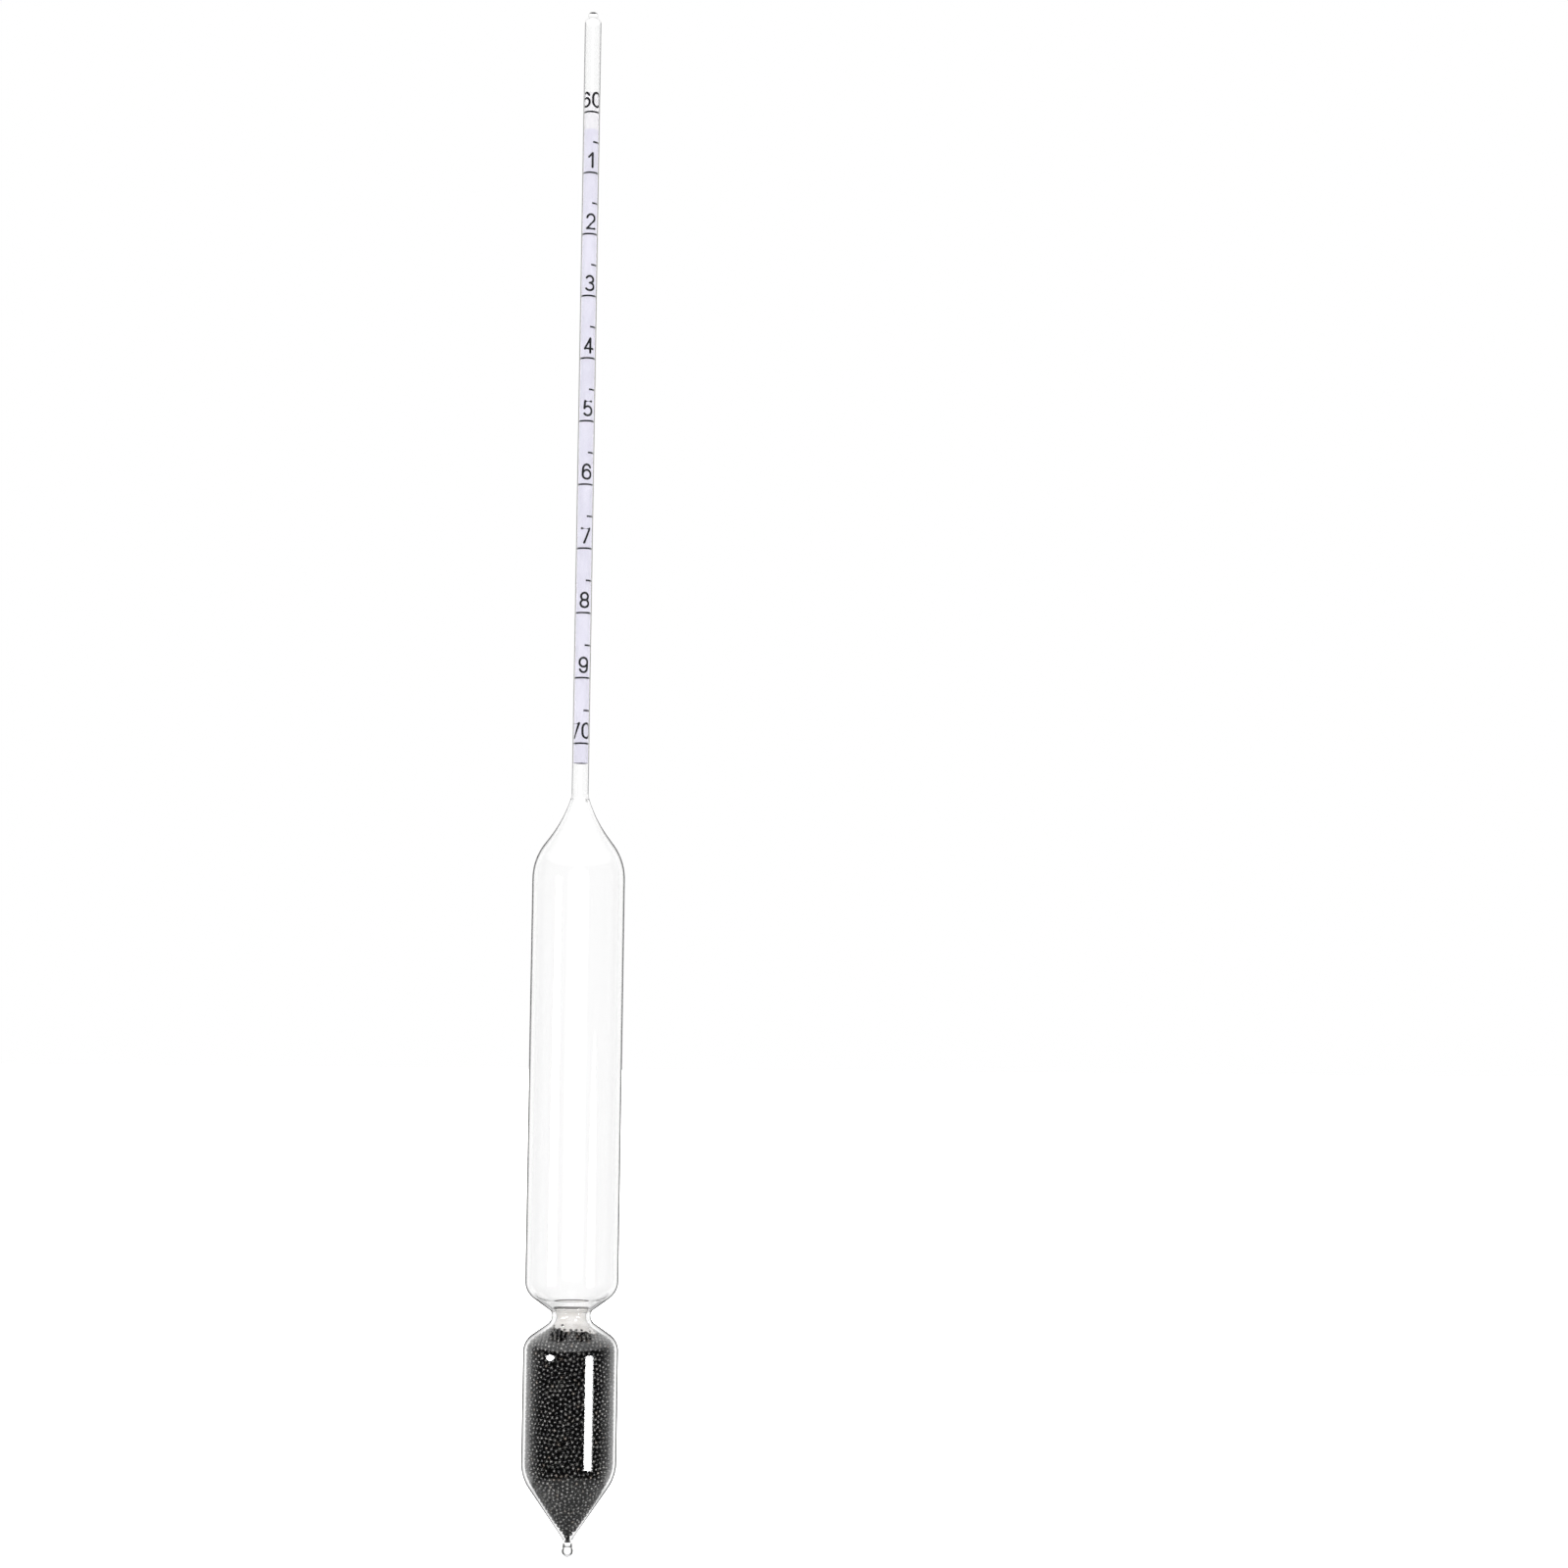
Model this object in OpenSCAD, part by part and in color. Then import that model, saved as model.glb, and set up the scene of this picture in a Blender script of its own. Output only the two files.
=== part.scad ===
// Glass hydrometer: a slim stem with a rolled paper scale, a float bulb and a
// shot-filled ballast bulb drawn to a small sealed tail.
// Millimetres. +Z runs up the stem. The origin lies on the axis, level with the
// mid-scale graduation, where the liquid surface holds the floating instrument.

/* [Stem] */
// Outer diameter of the stem tube
stem_d = 3.3; // [3:0.1:6]
// Wall of the stem tube
stem_wall = 0.18; // [0.15:0.01:0.2]
// Length of the stem tube, from its weld to its fused top
stem_len = 156.6; // [150:0.1:180]
// Rounding of the stem's top edge
tip_round = 0.9; // [0.6:0.1:1]
// Diameter of the small sealing nub on top of the stem
nub_d = 1.9; // [1.6:0.1:2.2]
// Height of the sealing nub
nub_h = 1.25; // [0.8:0.05:1.6]
// Rounding of the nub's top edge
nub_round = 0.5; // [0.3:0.1:0.6]

/* [Float bulb] */
// Outer diameter of the float bulb
float_d = 18.1; // [16:0.1:22]
// Wall of the float bulb
float_wall = 0.6; // [0.4:0.1:1]
// Length of the float bulb's straight side
float_straight = 77.9; // [50:0.1:90]
// Fillet where the stem is fused on
weld_fillet = 3; // [2:0.5:5]
// Slope of the flare where the weld fillet ends, from the vertical
weld_slope = 18; // [10:1:25]
// Radius of the hollow flare under the weld
flare_r = 26; // [15:1:30]
// Steepest slope of the top shoulder, from the vertical
top_slope = 37; // [30:1:45]
// Radius of the round top shoulder
top_round = 11.4; // [6:0.2:14]
// Radius of the float bulb's lower corner
base_round = 4.1; // [3:0.1:5]
// Slope of the float bulb's underside, from the vertical
base_slope = 54; // [45:1:60]

/* [Neck] */
// Outer diameter of the pinched neck
neck_d = 7.5; // [6:0.1:9]
// Wall at the neck
neck_wall = 0.9; // [0.6:0.1:1.2]
// Radius of the neck's groove above its narrowest place
neck_upper_r = 1.33; // [1:0.01:2]
// Radius of the neck's groove below its narrowest place
neck_lower_r = 2.1; // [1:0.1:3]

/* [Ballast bulb] */
// Outer diameter of the ballast bulb
ballast_d = 18.4; // [16:0.1:22]
// Wall of the ballast bulb
ballast_wall = 0.6; // [0.4:0.1:1]
// Length of the ballast bulb's straight side
ballast_straight = 21.1; // [15:0.1:30]
// Slope of the ballast bulb's shoulder, from the vertical
shoulder_slope = 55; // [45:1:60]
// Radius of the ballast bulb's shoulder
shoulder_round = 3.7; // [3:0.1:5]
// Radius of the round that leads into the cone
cone_round = 8.5; // [6:0.5:10]
// Slope of the cone, from the vertical
cone_slope = 34.5; // [30:0.5:40]

/* [Tail] */
// Diameter of the sealed glass bead at the very bottom
bead_d = 2.2; // [1.9:0.1:3]
// Diameter of the waist above the bead
waist_d = 1.8; // [1.5:0.1:1.8]
// Height of the waist above the bottom of the bead
waist_h = 2.6; // [2.2:0.1:3]
// Fillet between the cone and the waist
tail_fillet = 2; // [1:0.1:3]
// Diameter of the narrow end of the ballast cavity
tail_bore = 0.84; // [0.6:0.02:0.9]
// Length of that narrow end
tail_bore_len = 0.6; // [0.4:0.1:1]
// Glass left between the ballast cavity and the waist
tail_floor = 0.2; // [0.1:0.1:0.6]

/* [Filling] */
// Clearance of the filling and the resin from the glass
fill_gap = 0.05; // [0.03:0.01:0.1]
// Height of the resin plug above the neck's narrowest place
plug_above = 1.4; // [0.5:0.1:2]
// Depth of the resin plug below the neck's narrowest place
plug_below = 2.6; // [2:0.1:3]
// Sag of the resin's set surface
plug_sag = 0.4; // [0.2:0.1:0.8]

/* [Paper scale] */
// Outer diameter of the rolled paper
paper_d = 2.86; // [2.6:0.01:2.88]
// Thickness of the paper
paper_t = 0.08; // [0.05:0.01:0.15]
// Length of the paper roll
paper_len = 135.1; // [120:0.1:140]
// Height of the roll's lower edge above the weld
paper_rise = 6.05; // [2:0.05:8]
// Opening between the rolled paper's edges, at the back, in degrees
paper_gap = 10; // [4:1:20]
// Thickness of the printed ink
ink_t = 0.02; // [0.01:0.005:0.03]
// Lowest number of the scale, printed at the top
scale_low = 60; // [0:10:90]
// Number of degrees on the scale
scale_span = 10; // [10:10:10]
// Distance of the first graduation below the roll's top edge
first_drop = 4.1; // [4:0.1:6]
// Distance between the first two graduations
degree_gap = 12.45; // [11:0.01:12.6]
// Growth of that distance from each degree to the next
gap_growth = 0.058; // [0:0.001:0.06]
// Thickness of the printed lines
line_w = 0.34; // [0.2:0.02:0.4]
// Half of the arc that a degree line covers, in degrees
line_reach = 118; // [90:1:150]
// Arc at which a half-degree tick starts, right of the front, in degrees
tick_from = 15; // [0:1:40]
// Arc at which a half-degree tick ends, in degrees
tick_to = 104; // [60:1:120]
// Width of a printed figure
digit_w = 1.8; // [1.2:0.05:1.8]
// Height of a printed figure
digit_h = 3.3; // [2.4:0.1:4]
// Stroke width of the figures
digit_stroke = 0.42; // [0.2:0.02:0.5]
// Clear space between a figure and the line it belongs to
digit_lift = 0.7; // [0.4:0.1:1.2]
// Turn of the figures to the right of the front, in degrees
digit_turn = 9; // [0:1:15]
// Turn of the first figure of a two-figure number, right of the front, in degrees
tens_turn = -48; // [-60:1:-45]
// Turn of its second figure
ones_turn = 38; // [35:1:45]

/* [Hidden] */

bend_steps = 10; // straight steps that stand for each round stretch of an outline
bar_gap = 0.02;  // clear space between the bars of a figure
glass_rgba = [0.86, 0.9, 0.92, 0.35];

stem_r = stem_d / 2;
bore_r = stem_r - stem_wall;
float_r = float_d / 2;
neck_r = neck_d / 2;
ballast_r = ballast_d / 2;
bead_r = bead_d / 2;
waist_r = waist_d / 2;
nub_r = nub_d / 2;
paper_r = paper_d / 2;

// Length of the straight run between two bends that share one slope
function run(r_from, r_to, slope) = (r_to - r_from) / sin(slope);
// How far a bend of radius r moves the outline sideways while it turns by slope
function shift(r, slope) = r * (1 - cos(slope));

// Heights above the bottom of the bead, from the tail up
cone_run = run(waist_r + shift(tail_fillet, cone_slope),
               ballast_r - shift(cone_round, cone_slope), cone_slope);
cone_top = waist_h + (tail_fillet + cone_round) * sin(cone_slope) + cone_run * cos(cone_slope);
ballast_top = cone_top + ballast_straight;
shoulder_run = run(neck_r + shift(neck_lower_r, shoulder_slope),
                   ballast_r - shift(shoulder_round, shoulder_slope), shoulder_slope);
neck_z = ballast_top + (shoulder_round + neck_lower_r) * sin(shoulder_slope)
         + shoulder_run * cos(shoulder_slope);
base_run = run(neck_r + shift(neck_upper_r, base_slope),
               float_r - shift(base_round, base_slope), base_slope);
float_base = neck_z + (neck_upper_r + base_round) * sin(base_slope) + base_run * cos(base_slope);
float_top = float_base + float_straight;

// Radius that the flare has reached where the straight top slope begins
flare_end_r = stem_r + shift(weld_fillet, weld_slope)
              + flare_r * (cos(weld_slope) - cos(top_slope));
top_run = run(flare_end_r, float_r - shift(top_round, top_slope), top_slope);
weld_z = float_top + top_round * sin(top_slope) + top_run * cos(top_slope)
         + flare_r * (sin(top_slope) - sin(weld_slope)) + weld_fillet * sin(weld_slope);
tip_z = weld_z + stem_len;

paper_z = weld_z + paper_rise;
first_z = paper_z + paper_len - first_drop;
plug_top = neck_z + plug_above;
fill_top = neck_z - plug_below;

// Height of graduation n, counted from the top one; halves give the ticks
function mark_z(n) = first_z - n * degree_gap - gap_growth * n * (n - 1) / 2;
waterline_z = mark_z(scale_span / 2);

// One bend of an outline: its centre, its radius and the directions in which its
// surface faces at both ends. A hollow bend has a minus radius. Moving the outline
// inwards by t keeps the centre and takes t off the radius.
function bend(c, r, from, to, t = 0) =
    [for (i = [0:bend_steps])
        let (a = from + (to - from) * i / bend_steps) c + (r - t) * [cos(a), sin(a)]];
function along(a) = [cos(a), sin(a)];

weld_c = [stem_r + weld_fillet, weld_z];
flare_c = weld_c + (flare_r - weld_fillet) * along(weld_slope);

// Float bulb from the weld down to the neck. t is the depth below the outer face,
// tw its value at the weld and tn at the neck.
function float_outline(t = 0, tw = 0, tn = 0) = concat(
    bend(weld_c, -weld_fillet, 0, weld_slope, tw),
    bend(flare_c, -flare_r, weld_slope, top_slope, (t + tw) / 2),
    bend([float_r - top_round, float_top], top_round, top_slope, 0, t),
    bend([float_r - base_round, float_base], base_round, 0, -base_slope, t),
    bend([neck_r + neck_upper_r, neck_z], -neck_upper_r, -base_slope, 0, tn));

// Ballast bulb from the neck down to the foot of its cone
function ballast_outline(t = 0, tn = 0) = concat(
    bend([neck_r + neck_lower_r, neck_z], -neck_lower_r, 0, shoulder_slope, tn),
    bend([ballast_r - shoulder_round, ballast_top], shoulder_round, shoulder_slope, 0, t),
    bend([ballast_r - cone_round, cone_top], cone_round, 0, -cone_slope, t));

tail_c = [waist_r + tail_fillet, waist_h];
cavity_z = waist_h + tail_floor;

// Narrow end of the ballast cavity, drawn gap inside the glass
function cavity_foot(gap = 0) = [
    [tail_bore / 2 - gap, cavity_z + tail_bore_len],
    [tail_bore / 2 - gap, cavity_z + gap],
    [0, cavity_z + gap]];

function reversed(list) = [for (i = [len(list) - 1:-1:0]) list[i]];
// Points of an outline between two heights
function between(list, low, high) = [for (p = list) if (p[1] >= low && p[1] <= high) p];
// Radius of an outline at a height; its points run downwards
function r_at(list, z) = lookup(-z, [for (p = list) [-p[1], p[0]]]);

module turned(points) {
    translate([0, 0, -waterline_z])
        rotate_extrude($fn = 96)
            polygon(points);
}

module stem_tip_seal() {
    edge_z = tip_z - tip_round;
    nub_foot = acos((nub_r - stem_r + tip_round) / tip_round);
    dome_r = 0.6 * bore_r;
    color(glass_rgba)
        turned(concat(
            bend([stem_r - tip_round, edge_z], tip_round, 0, nub_foot),
            bend([nub_r - nub_round, tip_z + nub_h - nub_round], nub_round, 0, 90),
            [[0, tip_z + nub_h], [0, edge_z + dome_r]],
            bend([bore_r - dome_r, edge_z], dome_r, 90, 0)));
}

module stem_tube() {
    edge_z = tip_z - tip_round;
    color(glass_rgba)
        translate([0, 0, weld_z - waterline_z])
            difference() {
                cylinder(h = edge_z - weld_z, r = stem_r, $fn = 64);
                translate([0, 0, -1])
                    cylinder(h = edge_z - weld_z + 2, r = bore_r, $fn = 64);
            }
}

module float_bulb() {
    color(glass_rgba)
        turned(concat(
            float_outline(),
            reversed(float_outline(float_wall, stem_wall, neck_wall))));
}

module ballast_bulb() {
    foot = bend(tail_c, -tail_fillet, -cone_slope, 0);
    color(glass_rgba)
        turned(concat(
            ballast_outline(),
            foot,
            [[0, waist_h]],
            reversed(concat(ballast_outline(ballast_wall, neck_wall), cavity_foot()))));
}

module tail_bead() {
    low_c = [0, bead_r];
    color(glass_rgba)
        turned(concat(
            [[waist_r, waist_h]],
            bend(low_c, bead_r, 30, -90),
            [[0, waist_h]]));
}

// A strip of a tube on the stem's axis, from one arc to another, 0 facing the front
// and positive to the right
module strip(r_in, r_out, low, height, from, to) {
    translate([0, 0, low - waterline_z])
        rotate([0, 0, from - 90])
            rotate_extrude(angle = to - from, $fn = 96)
                translate([r_in, 0])
                    square([r_out - r_in, height]);
}

module scale_paper() {
    color([0.91, 0.9, 0.96])
        strip(paper_r - paper_t, paper_r, paper_z, paper_len,
              paper_gap / 2 - 180, 180 - paper_gap / 2);
}

module degree_lines() {
    color([0.15, 0.15, 0.17])
        for (n = [0:scale_span])
            strip(paper_r, paper_r + ink_t, mark_z(n) - line_w / 2, line_w,
                  -line_reach, line_reach);
}

module half_degree_ticks() {
    color([0.15, 0.15, 0.17])
        for (n = [0:scale_span - 1])
            strip(paper_r, paper_r + ink_t, mark_z(n + 0.5) - line_w / 2, line_w,
                  tick_from, tick_to);
}

// The bars of the figures 0 to 9. a, g and d lie across the figure from top to bottom,
// f and b stand in its upper half, e and c in its lower half, left and right.
BARS = ["abcdef", "bc", "abged", "abgcd", "fgbc", "afgcd", "afgecd", "abc", "abcdefg", "abcdfg"];

module bar(low, height, from, to) {
    strip(paper_r, paper_r + ink_t, low, height, from, to);
}

module figure(value, turn, low) {
    reach = asin(digit_w / 2 / paper_r);
    inner = reach - 2 * asin(digit_stroke / 2 / paper_r);
    across = inner - asin(bar_gap / paper_r);
    tall = (digit_h - bar_gap) / 2;
    for (name = BARS[value]) {
        if (name == "a")
            bar(low + digit_h - digit_stroke, digit_stroke, turn - across, turn + across);
        if (name == "g")
            bar(low + (digit_h - digit_stroke) / 2, digit_stroke, turn - across, turn + across);
        if (name == "d")
            bar(low, digit_stroke, turn - across, turn + across);
        if (name == "f" || name == "e")
            bar(low + (name == "f" ? digit_h - tall : 0), tall, turn - reach, turn - inner);
        if (name == "b" || name == "c")
            bar(low + (name == "b" ? digit_h - tall : 0), tall, turn + inner, turn + reach);
    }
}

// The first and last graduations carry both figures, the others only the last one
module scale_numbers() {
    color([0.1, 0.1, 0.12])
        for (n = [0:scale_span]) {
            value = scale_low + n;
            low = mark_z(n) + line_w / 2 + digit_lift;
            if (value % 10 == 0) {
                figure(floor(value / 10), tens_turn, low);
                figure(0, ones_turn, low);
            } else {
                figure(value % 10, digit_turn, low);
            }
        }
}

// The cavity's outline, kept clear of the glass
function cavity_upper() = float_outline(float_wall + fill_gap, stem_wall, neck_wall + fill_gap);
function cavity_lower() = ballast_outline(ballast_wall + fill_gap, neck_wall + fill_gap);

module resin_plug() {
    rim = r_at(cavity_upper(), plug_top);
    foot = r_at(cavity_lower(), fill_top);
    bowl_r = (rim * rim + plug_sag * plug_sag) / (2 * plug_sag);
    bowl_half = asin(rim / bowl_r);
    color([0.8, 0.78, 0.74, 0.8])
        turned(concat(
            bend([0, plug_top - plug_sag + bowl_r], bowl_r, -90, bowl_half - 90),
            between(cavity_upper(), neck_z, plug_top - 0.01),
            between(cavity_lower(), fill_top + 0.01, neck_z - 0.01),
            [[foot, fill_top], [0, fill_top]]));
}

module ballast_shot() {
    rim = r_at(cavity_lower(), fill_top);
    color([0.14, 0.14, 0.15])
        turned(concat(
            [[rim, fill_top]],
            between(cavity_lower(), 0, fill_top - 0.01),
            cavity_foot(fill_gap),
            [[0, fill_top]]));
}

stem_tip_seal();
stem_tube();
float_bulb();
ballast_bulb();
tail_bead();
scale_paper();
degree_lines();
half_degree_ticks();
scale_numbers();
resin_plug();
ballast_shot();
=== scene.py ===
"""Looks of a glass hydrometer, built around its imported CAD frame.

Shapes are worked out in millimetres above the bottom of the tail bead, on the instrument's axis, and go
into the frame's metres when a mesh is made. Azimuth 0 faces the front (-Y) and grows towards the right (+X).
"""

import math

import bmesh
import bpy
import numpy as np
from mathutils import Matrix, Vector, geometry


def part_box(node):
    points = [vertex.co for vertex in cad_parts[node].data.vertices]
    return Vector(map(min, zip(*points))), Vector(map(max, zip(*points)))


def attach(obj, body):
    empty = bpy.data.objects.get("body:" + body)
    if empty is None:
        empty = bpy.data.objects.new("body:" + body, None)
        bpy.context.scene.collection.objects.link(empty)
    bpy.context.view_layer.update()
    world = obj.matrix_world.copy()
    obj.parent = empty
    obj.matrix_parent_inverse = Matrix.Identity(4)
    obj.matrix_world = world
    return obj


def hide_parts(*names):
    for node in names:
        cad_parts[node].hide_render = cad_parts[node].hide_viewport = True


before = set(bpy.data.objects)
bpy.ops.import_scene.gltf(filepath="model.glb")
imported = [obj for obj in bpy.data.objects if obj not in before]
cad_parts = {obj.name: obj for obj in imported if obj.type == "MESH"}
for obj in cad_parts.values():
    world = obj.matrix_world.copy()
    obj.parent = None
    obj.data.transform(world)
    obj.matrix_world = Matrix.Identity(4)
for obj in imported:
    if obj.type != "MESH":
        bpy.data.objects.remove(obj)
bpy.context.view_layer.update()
scene = bpy.context.scene

# ---------------------------------------------------------------- sizes from the frame
MM = 0.001
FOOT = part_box("tail_bead")[0].z


def low(node):
    """Height of a CAD node's lowest point above the bottom of the bead."""
    return (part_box(node)[0].z - FOOT) / MM


def high(node):
    """Height of a CAD node's highest point above the bottom of the bead."""
    return (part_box(node)[1].z - FOOT) / MM


def reach(node):
    """Radius of a CAD node, which is round about the axis."""
    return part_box(node)[1].x / MM


STEM_R = reach("stem_tube")
WELD_Z = low("stem_tube")
STEM_TOP = high("stem_tube")
FLOAT_R = reach("float_bulb")
NECK_Z = low("float_bulb")
BALLAST_R = reach("ballast_bulb")
WAIST_Z = low("ballast_bulb")
PLUG_TOP = high("resin_plug")
SHOT_TOP = high("ballast_shot")
PAPER_R = reach("scale_paper")

# Bends and walls of the glass, as the CAD model has them, in millimetres and degrees from the vertical
STEM_WALL = 0.18
TIP_ROUND = 0.9
NUB_R = 0.95
NUB_ROUND = 0.5
FLOAT_WALL = 0.6
WELD_FILLET = 3
WELD_SLOPE = 18
FLARE_R = 26
TOP_SLOPE = 37
TOP_ROUND = 11.4
BASE_ROUND = 4.1
BASE_SLOPE = 54
NECK_R = 3.75
NECK_WALL = 0.9
NECK_UPPER_R = 1.33
NECK_LOWER_R = 2.1
BALLAST_WALL = 0.6
SHOULDER_SLOPE = 55
SHOULDER_ROUND = 3.7
CONE_ROUND = 8.5
CONE_SLOPE = 34.5
WAIST_R = 0.9
TAIL_FILLET = 2
BORE_R = 0.42
BORE_LEN = 0.6
BORE_FLOOR = 0.2
BEAD_R = 1.1
BEAD_FROM = 30  # direction in which the bead's surface faces where it leaves the waist


def run(r_from, r_to, slope):
    """Length of the straight between two bends that share a slope."""
    return (r_to - r_from) / math.sin(math.radians(slope))


def shift(r, slope):
    """How far a bend moves the outline sideways while it turns by slope."""
    return r * (1 - math.cos(math.radians(slope)))


def rise(r, slope):
    """Height of a bend that turns by slope from the vertical."""
    return r * math.sin(math.radians(slope))


def drop(length, slope):
    """Height of a straight at a slope from the vertical."""
    return length * math.cos(math.radians(slope))


SHOULDER_RUN = run(
    NECK_R + shift(NECK_LOWER_R, SHOULDER_SLOPE),
    BALLAST_R - shift(SHOULDER_ROUND, SHOULDER_SLOPE),
    SHOULDER_SLOPE,
)
BALLAST_TOP = (
    NECK_Z - rise(SHOULDER_ROUND + NECK_LOWER_R, SHOULDER_SLOPE) - drop(SHOULDER_RUN, SHOULDER_SLOPE)
)
CONE_RUN = run(
    WAIST_R + shift(TAIL_FILLET, CONE_SLOPE),
    BALLAST_R - shift(CONE_ROUND, CONE_SLOPE),
    CONE_SLOPE,
)
CONE_TOP = WAIST_Z + rise(TAIL_FILLET + CONE_ROUND, CONE_SLOPE) + drop(CONE_RUN, CONE_SLOPE)
BASE_RUN = run(
    NECK_R + shift(NECK_UPPER_R, BASE_SLOPE),
    FLOAT_R - shift(BASE_ROUND, BASE_SLOPE),
    BASE_SLOPE,
)
FLOAT_BASE = NECK_Z + rise(NECK_UPPER_R + BASE_ROUND, BASE_SLOPE) + drop(BASE_RUN, BASE_SLOPE)
FLARE_END_R = (
    STEM_R + shift(WELD_FILLET, WELD_SLOPE) + shift(FLARE_R, TOP_SLOPE) - shift(FLARE_R, WELD_SLOPE)
)
TOP_RUN = run(FLARE_END_R, FLOAT_R - shift(TOP_ROUND, TOP_SLOPE), TOP_SLOPE)
FLOAT_TOP = (
    WELD_Z - rise(WELD_FILLET, WELD_SLOPE) - rise(FLARE_R, TOP_SLOPE) + rise(FLARE_R, WELD_SLOPE)
    - drop(TOP_RUN, TOP_SLOPE) - rise(TOP_ROUND, TOP_SLOPE)
)

# ---------------------------------------------------------------- outlines
BEND_STEPS = 24
TURN_STEPS = 192
ON_AXIS = 1e-6  # a radius under this is a single point


def bend(centre, radius, start, end, inset=0.0):
    """One round stretch of an outline: rows of radius, height and facing.
    inset is the depth inside the glass."""
    turn = np.radians(np.linspace(start, end, BEND_STEPS + 1))
    facing = np.stack([np.cos(turn), np.sin(turn)], axis=1)
    return np.hstack([np.array(centre) + (radius - inset) * facing, facing])


def along(slope):
    """Direction, as radius and height, of a surface that faces up by slope."""
    return np.array([math.cos(math.radians(slope)), math.sin(math.radians(slope))])


def float_outline(inset=0.0, weld=0.0, neck=0.0):
    """The float bulb from the weld down to the neck. inset is the depth inside the glass, weld is its value
    at the weld and neck its value at the neck."""
    weld_c = np.array([STEM_R + WELD_FILLET, WELD_Z])
    flare_c = weld_c + (FLARE_R - WELD_FILLET) * along(WELD_SLOPE)
    return np.vstack([
        bend(weld_c, -WELD_FILLET, 0, WELD_SLOPE, weld),
        bend(flare_c, -FLARE_R, WELD_SLOPE, TOP_SLOPE, (inset + weld) / 2),
        bend([FLOAT_R - TOP_ROUND, FLOAT_TOP], TOP_ROUND, TOP_SLOPE, 0, inset),
        bend([FLOAT_R - BASE_ROUND, FLOAT_BASE], BASE_ROUND, 0, -BASE_SLOPE, inset),
        bend([NECK_R + NECK_UPPER_R, NECK_Z], -NECK_UPPER_R, -BASE_SLOPE, 0, neck),
    ])


def ballast_outline(inset=0.0, neck=0.0):
    """The ballast bulb from the neck down to the end of the cone's round."""
    return np.vstack([
        bend([NECK_R + NECK_LOWER_R, NECK_Z], -NECK_LOWER_R, 0, SHOULDER_SLOPE, neck),
        bend([BALLAST_R - SHOULDER_ROUND, BALLAST_TOP], SHOULDER_ROUND, SHOULDER_SLOPE, 0, inset),
        bend([BALLAST_R - CONE_ROUND, CONE_TOP], CONE_ROUND, 0, -CONE_SLOPE, inset),
    ])


def inside_out(rows):
    """The same outline as the wall of a hollow: drawn upwards, facing the axis."""
    return rows[::-1] * [1, 1, -1, -1]


# ---------------------------------------------------------------- meshes
def make_piece(name, points, faces, material, nodes, normals=None, flat=False):
    """A mesh piece from points in millimetres above the bead's bottom. It rides on the body and stands for
    CAD nodes."""
    mesh = bpy.data.meshes.new(name)
    placed = np.asarray(points, float) * MM + [0, 0, FOOT]
    mesh.from_pydata(placed.tolist(), [], faces)
    if not flat:
        mesh.shade_smooth()
    if normals is not None:
        mesh.normals_split_custom_set_from_vertices(normals.tolist())
    mesh.materials.append(material)
    piece = bpy.data.objects.new(name, mesh)
    scene.collection.objects.link(piece)
    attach(piece, "root")
    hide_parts(*nodes)
    return piece


def around(radius, turn):
    """Sideways place of a point at a radius and an azimuth, in radians."""
    return radius * np.sin(turn), -radius * np.cos(turn)


def revolve(rows, steps=TURN_STEPS):
    """Points, faces and normals of an outline turned about the axis. Drawn downwards it faces outwards."""
    turn = np.arange(steps) * math.tau / steps
    points, normals, rings = [], [], []
    for radius, height, out, up in rows:
        if radius < ON_AXIS:
            rings.append([len(points)] * steps)
            points.append((0.0, 0.0, height))
            normals.append((0.0, 0.0, math.copysign(1.0, up)))
            continue
        rings.append(list(range(len(points), len(points) + steps)))
        x, y = around(radius, turn)
        nx, ny = around(out, turn)
        points.extend(zip(x, y, [height] * steps))
        normals.extend(zip(nx, ny, [up] * steps))
    faces = []
    for upper, lower in zip(rings, rings[1:]):
        for j in range(steps):
            k = (j + 1) % steps
            face = dict.fromkeys((upper[j], lower[j], lower[k], upper[k]))
            faces.append(tuple(face))
    return points, faces, normals


def join(*parts):
    """One set of points, faces and normals from several."""
    points, faces, normals = [], [], []
    for p, f, n in parts:
        faces.extend(tuple(i + len(points) for i in face) for face in f)
        points.extend(p)
        normals.extend(n)
    return points, faces, normals


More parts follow.
